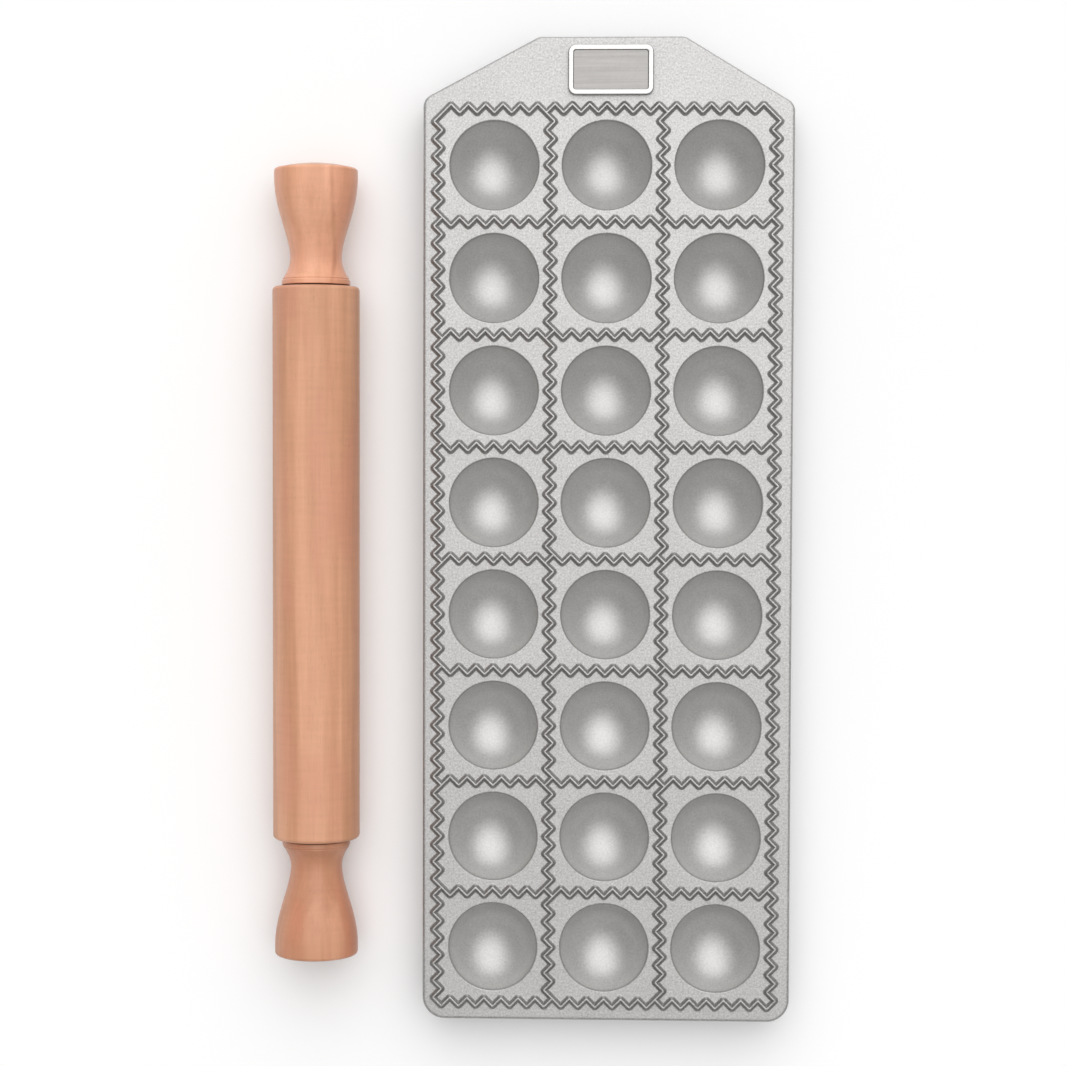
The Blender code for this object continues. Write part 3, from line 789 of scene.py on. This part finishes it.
def roller_profile():
    """Half section of the roller with its bore and the sockets of the bushes."""
    socket = BUSH_RADIUS + SEAT_GAP
    socket_floor = ROLLER_END - BUSH_LENGTH - SEAT_GAP
    bore = AXLE_DIAMETER / 2 + ROLLER_BORE_SPARE
    rounding = reversed(quarter_round(ROLLER_ROUND, ROUND_STEPS))
    upper = [(ROLLER_RADIUS - inset, ROLLER_END - down) for inset, down in rounding]
    upper += [(socket, ROLLER_END), (socket, socket_floor), (bore, socket_floor)]
    lower = [(r, -z) for r, z in reversed(upper)]
    return upper + lower


def handle_profile():
    """Half section of a handle: grooved collar, waisted neck, swelling grip and domed end."""
    face = ROLLER_END + HANDLE_GAP
    hole = AXLE_DIAMETER / 2 + SEAT_GAP
    hole_end = face + HANDLE_HOLD + SEAT_GAP
    collar = COLLAR_DIAMETER / 2
    neck = NECK_DIAMETER / 2
    bulb = BULB_DIAMETER / 2
    rounding = quarter_round(COLLAR_ROUND, SMALL_ROUND_STEPS)
    profile = [(0.0, hole_end), (hole, hole_end), (hole, face)]
    profile += [(collar - inset, face + along) for inset, along in rounding]
    profile += [(collar - inset, face + COLLAR_LIP + past) for inset, past in COLLAR_BACK]
    first = COLLAR_LIP + NECK_START
    for i in range(NECK_STEPS + 1):
        along = first + (NECK_AT - first) * i / NECK_STEPS
        full = (along - COLLAR_LIP) / (NECK_AT - COLLAR_LIP)
        profile.append((neck + (collar - neck) * (1 - full) ** 2, face + along))
    for i in range(1, SWELL_STEPS + 1):
        share = i / SWELL_STEPS
        along = NECK_AT + (BULB_AT - NECK_AT) * share
        rise = (1 - math.cos(math.pi * share**SWELL_BIAS)) / 2
        profile.append((neck + (bulb - neck) * rise, face + along))
    shoulder = face + HANDLE_LENGTH - DOME_RISE
    for inset, down in reversed(quarter_round(HANDLE_ROUND, ROUND_STEPS)):
        profile.append((bulb - inset, shoulder - down))
    for i in range(1, DOME_STEPS + 1):
        share = 1 - i / DOME_STEPS
        profile.append(((bulb - HANDLE_ROUND) * share, shoulder + DOME_RISE * (1 - share**2)))
    return profile


def make_pin(looks):
    """Roller, axle, bushes and handles: the roller and its bushes on one body, the axle and the
    handles on another.
    """
    look = looks["roller"]
    roller = turned("roller_fine", roller_profile(), TURNED_SIDES, look, "roller")
    on_pin(roller, "back", "roller")
    reach = ROLLER_END + HANDLE_GAP + HANDLE_HOLD
    radius = AXLE_DIAMETER / 2
    rod = [
        (0.0, -reach),
        (radius - AXLE_CHAMFER, -reach),
        (radius, AXLE_CHAMFER - reach),
        (radius, reach - AXLE_CHAMFER),
        (radius - AXLE_CHAMFER, reach),
        (0.0, reach),
    ]
    axle = turned("axle_fine", rod, SMALL_SIDES, looks["steel"], "axle")
    on_pin(axle, "back", "pin")
    start = ROLLER_END - BUSH_LENGTH
    bore = radius + RUN_GAP
    sleeve = [(BUSH_RADIUS, start), (BUSH_RADIUS, ROLLER_END), (bore, ROLLER_END), (bore, start)]
    for end in ("back", "front"):
        name = f"bush_{end}"
        bush = turned(f"{name}_fine", sleeve, SMALL_SIDES, looks["nylon"], name)
        on_pin(bush, end, "roller")
        name = f"handle_{end}"
        look = looks[name]
        handle = turned(f"{name}_fine", handle_profile(), TURNED_SIDES, look, name)
        on_pin(handle, end, "pin")


# Materials


class Nodes:
    """A node tree and short calls that add nodes to it."""

    def __init__(self, tree):
        self.tree = tree

    def node(self, kind, inputs, **settings):
        """A node with its settings, and its inputs linked or set."""
        made = self.tree.nodes.new(kind)
        for key, value in settings.items():
            setattr(made, key, value)
        for key, value in inputs.items():
            self.feed(made.inputs[key], value)
        return made

    def feed(self, socket, value):
        """Link a socket to another node's output, or set its value."""
        if isinstance(value, bpy.types.NodeSocket):
            self.tree.links.new(value, socket)
        else:
            socket.default_value = value

    def maths(self, operation, *values):
        """One arithmetic step."""
        return self.node("ShaderNodeMath", dict(enumerate(values)), operation=operation).outputs[0]

    def vectors(self, operation, first, second):
        """One step with two vectors, as a node with its outputs."""
        return self.node("ShaderNodeVectorMath", {0: first, 1: second}, operation=operation)

    def parts(self, vector):
        """The three coordinates of a vector, as sockets X, Y and Z."""
        return self.node("ShaderNodeSeparateXYZ", {0: vector}).outputs


class Look(Nodes):
    """A material and short calls for the patterns in it."""

    def __init__(self, name):
        self.material = bpy.data.materials.new(name)
        self.material.use_nodes = True
        super().__init__(self.material.node_tree)
        self.shader = self.tree.nodes["Principled BSDF"]
        self.place = self.node("ShaderNodeTexCoord", {}).outputs["Object"]

    def shade(self, **inputs):
        """Feed the shader's sockets, named with underscores for spaces."""
        for key, value in inputs.items():
            self.feed(self.shader.inputs[key.replace("_", " ")], value)

    def times(self, vector, factors):
        """A place or a colour with each of its numbers multiplied."""
        return self.vectors("MULTIPLY", vector, factors).outputs[0]

    def noise(self, scale, detail=2.0, roughness=0.5, fineness=(1.0, 1.0, 1.0), warp=0.0):
        """Noise from 0 to 1, its scale in bumps to the metre.

        Along an axis whose fineness is below 1, the bumps are drawn out.
        """
        inputs = {
            "Vector": self.times(self.place, fineness),
            "Scale": scale,
            "Detail": detail,
            "Roughness": roughness,
            "Distortion": warp,
        }
        return self.node("ShaderNodeTexNoise", inputs).outputs["Fac"]

    def remap(self, value, low, high, to_low=0.0, to_high=1.0, smooth=False):
        """A value's range moved to another range, and held inside it."""
        inputs = {
            "Value": value,
            "From Min": low,
            "From Max": high,
            "To Min": to_low,
            "To Max": to_high,
        }
        kind = "SMOOTHSTEP" if smooth else "LINEAR"
        return self.node("ShaderNodeMapRange", inputs, interpolation_type=kind).outputs[0]

    def spread(self, noise, low, high, span=NOISE_SPAN):
        """A noise moved from the span where most of it lies to another range."""
        return self.remap(noise, *span, low, high)

    def mix(self, share, first, second):
        """A colour between two."""
        inputs = {MIX_SHARE: share, MIX_FIRST: first, MIX_SECOND: second}
        return self.node("ShaderNodeMix", inputs, data_type="RGBA").outputs[MIX_RESULT]

    def dim(self, colour, factor):
        """A colour times a brightness."""
        inputs = {0: colour, "Scale": factor}
        return self.node("ShaderNodeVectorMath", inputs, operation="SCALE").outputs[0]

    def bump(self, height, distance):
        """A bumped normal, for heights from 0 to 1 over a distance in metres."""
        inputs = {"Height": height, "Distance": distance, "Strength": 1.0}
        return self.node("ShaderNodeBump", inputs).outputs[0]

    def ramp(self, value, stops):
        """A grey level that runs through the given (position, level) stops."""
        made = self.node("ShaderNodeValToRGB", {"Fac": value})
        points = made.color_ramp.elements
        while len(points) < len(stops):
            points.new(1.0)
        for point, (position, level) in zip(points, stops):
            point.position = position
            point.color = rgb(level, level, level)
        return made.outputs["Color"]

    def part(self, axis):
        """One coordinate of the place on the piece."""
        return self.parts(self.place)[axis]

    def facing_z(self):
        """How far the surface faces along the piece's Z, either way, from 0 to 1."""
        normal = self.node("ShaderNodeTexCoord", {}).outputs["Normal"]
        return self.maths("ABSOLUTE", self.parts(normal)["Z"])


def rgb(red, green, blue):
    """A colour for a socket."""
    return (red, green, blue, 1.0)


def cast_look():
    """Dull cast aluminium: speckled and with worn crests, with painted shade on the ridge flanks,
    below the cup rims, on upright walls and towards the front.
    """
    look = Look("cast_aluminium_fine")
    speck = look.noise(**CAST_SPECK)
    height = look.maths("SUBTRACT", look.part("Z"), PLATE_TOP)
    rise = look.maths("DIVIDE", height, RIDGE_HEIGHT)
    crest = look.remap(rise, CREST_START, 1.0)
    sunk = look.remap(height, *CUP_START, 1.0, 0.0)
    grain = look.maths("MULTIPLY_ADD", sunk, CUP_GRAIN - FLAT_GRAIN, FLAT_GRAIN)
    tone = look.maths("MULTIPLY_ADD", look.spread(speck, -1.0, 1.0, WIDE_SPAN), grain, CAST_TONE)
    tone = look.maths("ADD", tone, look.spread(look.noise(**CAST_MOTTLE), *MOTTLE_TONE))
    shade = look.ramp(look.remap(height, -SHADE_DEPTH, 0.0), CUP_SHADE)
    tone = look.maths("MULTIPLY", tone, shade)
    # Painted shade: the ridge flanks darkened, most just below the crest
    tone = look.maths("MULTIPLY", tone, look.ramp(rise, PAINTED_FLANK_SHADE))
    # Painted shade: upright faces such as the skirt's wall are darkened
    painted_skirt_shade = look.remap(look.facing_z(), *SKIRT_FACING, SKIRT_PAINTED_SHADE, 1.0)
    tone = look.maths("MULTIPLY", tone, painted_skirt_shade)
    # Painted shade: the flats and ridges darken towards the front end of the grid, and the cups are
    # left out
    grid_end = GRID_LENGTH / 2
    fading = look.remap(look.part("Y"), -grid_end, grid_end, FRONT_PAINTED_SHADE, HEAD_PAINTED_SHADE)
    tone = look.maths("MULTIPLY", tone, look.maths("MAXIMUM", fading, sunk))
    metal = look.mix(crest, rgb(*CAST_GREY), rgb(*CREST_GREY))
    rough = look.remap(crest, 0.0, 1.0, CAST_ROUGH, CREST_ROUGH)
    rough = look.maths("ADD", rough, look.spread(speck, *SPECK_ROUGH))
    look.shade(Base_Color=look.dim(metal, tone), Roughness=rough, Metallic=CAST_METALLIC)
    look.shade(Normal=look.bump(look.noise(**CAST_DENTS), DENT_DEPTH))
    return look.material


def plaque_look():
    """Polished frame round a satin field with fine brush lines."""
    look = Look("polished_plate_fine")
    haze = look.noise(**PLAQUE_HAZE)
    lines = look.noise(**BRUSH_LINES)
    frame_top = look.remap(look.part("Z"), PLAQUE_FIELD, PLAQUE_FIELD + PLAQUE_RECESS)
    metal = look.mix(frame_top, rgb(*FIELD_GREY), rgb(*FRAME_GREY))
    tone = look.maths("ADD", look.spread(haze, *HAZE_TONE), look.spread(lines, *BRUSH_TONE))
    rough = look.remap(frame_top, 0.0, 1.0, FIELD_ROUGH, FRAME_ROUGH)
    rough = look.maths("ADD", rough, look.spread(haze, *HAZE_ROUGH))
    look.shade(Base_Color=look.dim(metal, tone), Roughness=rough, Metallic=1.0)
    look.shade(Normal=look.bump(lines, BRUSH_DEPTH))
    return look.material


def vein_share(look, place):
    """How strongly a thin wavy line along the axis shows, broken where it fades."""
    sway = look.maths("SUBTRACT", look.noise(**VEIN_SWAY), NOISE_MIDDLE)
    wave = look.maths("MULTIPLY_ADD", sway, VEIN_WANDER, look.part("X"))
    line = look.maths("ABSOLUTE", look.maths("SUBTRACT", wave, place))
    line = look.remap(line, *VEIN_FADE, 1.0, 0.0, smooth=True)
    strength = look.spread(look.noise(**VEIN_BREAKS), *VEIN_STRENGTH, BREAK_SPAN)
    return look.maths("MULTIPLY", line, strength)


def end_grain(look, colour):
    """The wood's colour where its fibres end, with growth rings that darken outwards."""
    apart = look.vectors("DISTANCE", look.times(look.place, ACROSS), PITH).outputs["Value"]
    apart = look.maths("MULTIPLY_ADD", look.noise(**RING_NOISE), RING_WANDER, apart)
    year = look.maths("FRACT", look.maths("DIVIDE", apart, RING_WIDTH))
    tone = look.maths("MULTIPLY_ADD", look.maths("POWER", year, RING_EDGE), RING_FALL, RING_PALE)
    return look.dim(look.times(colour, END_GRAIN), tone)


def wood_look(name, colours, vein, coat):
    """Beech, turned and oiled: soft bands, fibres along the axis, short dark flecks, end grain.

    The axis is the piece's Z. vein is the place of one thin reddish line along the piece's
    X, or None.
    """
    pale, dark, red = (rgb(*colour) for colour in colours)
    look = Look(name)
    fibre = look.noise(**WOOD_FIBRES)
    flecks = look.remap(look.noise(**WOOD_FLECKS), *FLECK_SPAN, smooth=True)
    bands = look.spread(look.noise(**WOOD_BANDS), 0.0, BAND_SHARE, BAND_SPAN)
    patches = look.remap(look.noise(**WOOD_PATCHES), *PATCH_SPAN, 0.0, PATCH_SHARE, smooth=True)
    colour = look.mix(patches, look.mix(bands, pale, dark), red)
    if vein is not None:
        colour = look.mix(vein_share(look, vein), colour, rgb(*VEIN_RED))
    ends = look.remap(look.facing_z(), *END_FACING)
    colour = look.mix(ends, colour, end_grain(look, colour))
    along = look.spread(fibre, -0.5, 0.5, WIDE_SPAN)
    across = look.spread(look.noise(**WOOD_CROSSING), -0.5, 0.5)
    tone = look.maths("MULTIPLY_ADD", along, FIBRE_TONE, 1.0)
    tone = look.maths("MULTIPLY_ADD", across, CROSSING_TONE, tone)
    tone = look.maths("MULTIPLY_ADD", flecks, FLECK_TONE, tone)
    rough = look.spread(fibre, *WOOD_ROUGH, WIDE_SPAN)
    look.shade(Base_Color=look.dim(colour, tone), Roughness=rough)
    look.shade(Normal=look.bump(fibre, FIBRE_DEPTH), Specular_IOR_Level=WOOD_SPECULAR)
    look.shade(Coat_Weight=coat, Coat_Roughness=COAT_ROUGH)
    return look.material


def rubber_look():
    """Black rubber, a little dusty."""
    look = Look("black_rubber_fine")
    dust = look.noise(**RUBBER_DUST)
    colour = look.mix(look.remap(dust, *DUST_SPAN), rgb(*RUBBER_BLACK), rgb(*RUBBER_DUSTY))
    look.shade(Base_Color=colour, Roughness=look.spread(dust, *RUBBER_ROUGH))
    look.shade(Normal=look.bump(dust, DUST_DEPTH))
    return look.material


def nylon_look():
    """Milky nylon with faint turning marks."""
    look = Look("white_nylon_fine")
    marks = look.noise(**NYLON_MARKS)
    colour = look.mix(look.spread(marks, 0.0, 1.0), rgb(*NYLON_DARK), rgb(*NYLON_PALE))
    look.shade(Base_Color=colour, Roughness=look.spread(marks, *NYLON_ROUGH))
    look.shade(Normal=look.bump(marks, NYLON_DEPTH))
    return look.material


def steel_look():
    """Bright drawn steel with fine lines round the rod."""
    look = Look("bright_steel_fine")
    marks = look.noise(**STEEL_MARKS)
    colour = look.dim(STEEL_GREY, look.spread(marks, *STEEL_TONE))
    look.shade(Base_Color=colour, Roughness=look.spread(marks, *STEEL_ROUGH), Metallic=1.0)
    look.shade(Normal=look.bump(marks, STEEL_DEPTH))
    return look.material


def table_look():
    """A matt white table, with the slightest unevenness."""
    look = Look("white_table")
    colour = look.mix(look.noise(**TABLE_PATCHES), rgb(*TABLE_DARK), rgb(*TABLE_PALE))
    look.shade(Base_Color=colour, Roughness=TABLE_ROUGH, Specular_IOR_Level=0.0)
    return look.material


# Stage


def make_floor():
    """A pale floor that reaches far past the camera's view."""
    bm = bmesh.new()
    bm.faces.new(ring(bm, oblong(FLOOR_HALF, FLOOR_HALF), 0.0))
    table = from_bmesh("table", bm, table_look())


class Room(Nodes):
    """The light of the world, as a brightness for each way that leads out of the scene."""

    def __init__(self, name):
        world = bpy.data.worlds.new(name)
        world.use_nodes = True
        bpy.context.scene.world = world
        super().__init__(world.node_tree)
        self.way = self.node("ShaderNodeTexCoord", {}).outputs["Generated"]

    def share(self, axis):
        """How far the way goes along an axis."""
        return self.vectors("DOT_PRODUCT", self.way, axis).outputs["Value"]

    def square(self, value):
        """A number times itself."""
        return self.maths("MULTIPLY", value, value)

    def fading(self, value):
        """1 where a value is 0, and less as it grows."""
        return self.maths("EXPONENT", self.maths("MULTIPLY", value, -1.0))


def lamp_glow(room):
    """One broad soft lamp, 1 in its middle, and oval because it is narrow from side to side."""
    aside, along, towards = Euler((-LAMP_BACK, LAMP_RIGHT, 0.0)).to_matrix().transposed()
    cosine = room.maths("MINIMUM", room.share(towards), 1.0)
    round_off = room.maths("SQRT", room.maths("SUBTRACT", 1.0, room.square(cosine)))
    across = room.share(aside * LAMP_NARROW)
    oval_off = room.maths("MULTIPLY_ADD", across, across, room.square(room.share(along)))
    oval = room.maths("DIVIDE", room.maths("SQRT", oval_off), round_off)
    off = room.maths("DIVIDE", room.maths("ARCCOSINE", cosine), LAMP_SPREAD)
    return room.fading(room.maths("POWER", room.maths("MULTIPLY", off, oval), LAMP_FADE))


def make_light():
    """A pale room with a lamp above the head end, more light in front and at the horizon."""
    room = Room("studio")
    parts = room.parts(room.way)
    forward = room.maths("MAXIMUM", room.maths("MULTIPLY", parts["Y"], -1.0), 0.0)
    front = room.maths("POWER", forward, FRONT_FADE)
    horizon = room.fading(room.square(room.maths("DIVIDE", parts["Z"], HORIZON_SPREAD)))
    level = room.maths("MULTIPLY_ADD", front, FRONT_LEVEL, SKY_LEVEL)
    level = room.maths("MULTIPLY_ADD", lamp_glow(room), LAMP_LEVEL, level)
    level = room.maths("MULTIPLY_ADD", horizon, HORIZON_LEVEL, level)
    background = room.tree.nodes["Background"]
    room.feed(background.inputs["Strength"], level)
    room.feed(background.inputs["Color"], rgb(1.0, 1.0, 1.0))


def make_camera():
    """The camera of the photograph, almost straight above the middle of the set."""
    data = bpy.data.cameras.new("camera")
    data.lens = CAMERA_LENS
    data.sensor_width = CAMERA_SENSOR
    camera = bpy.data.objects.new("camera", data)
    camera.location = CAMERA_PLACE
    camera.rotation_euler = CAMERA_TURN
    bpy.context.scene.collection.objects.link(camera)
    bpy.context.scene.camera = camera
    bpy.context.scene.view_settings.view_transform = "Standard"


def main():
    """The stage first, and then the pieces of the mould and of the pin."""
    make_camera()
    make_light()
    make_floor()
    make_mould_plate(cast_look())
    make_plaque(plaque_look())
    make_feet(rubber_look())
    make_pin(
        {
            "roller": wood_look("roller_beech_fine", TAN_WOOD, None, ROLLER_COAT),
            "handle_back": wood_look("handle_back_fine", PINK_WOOD, VEIN_AT, BACK_COAT),
            "handle_front": wood_look("handle_front_fine", RUSTY_WOOD, None, FRONT_COAT),
            "steel": steel_look(),
            "nylon": nylon_look(),
        }
    )


main()
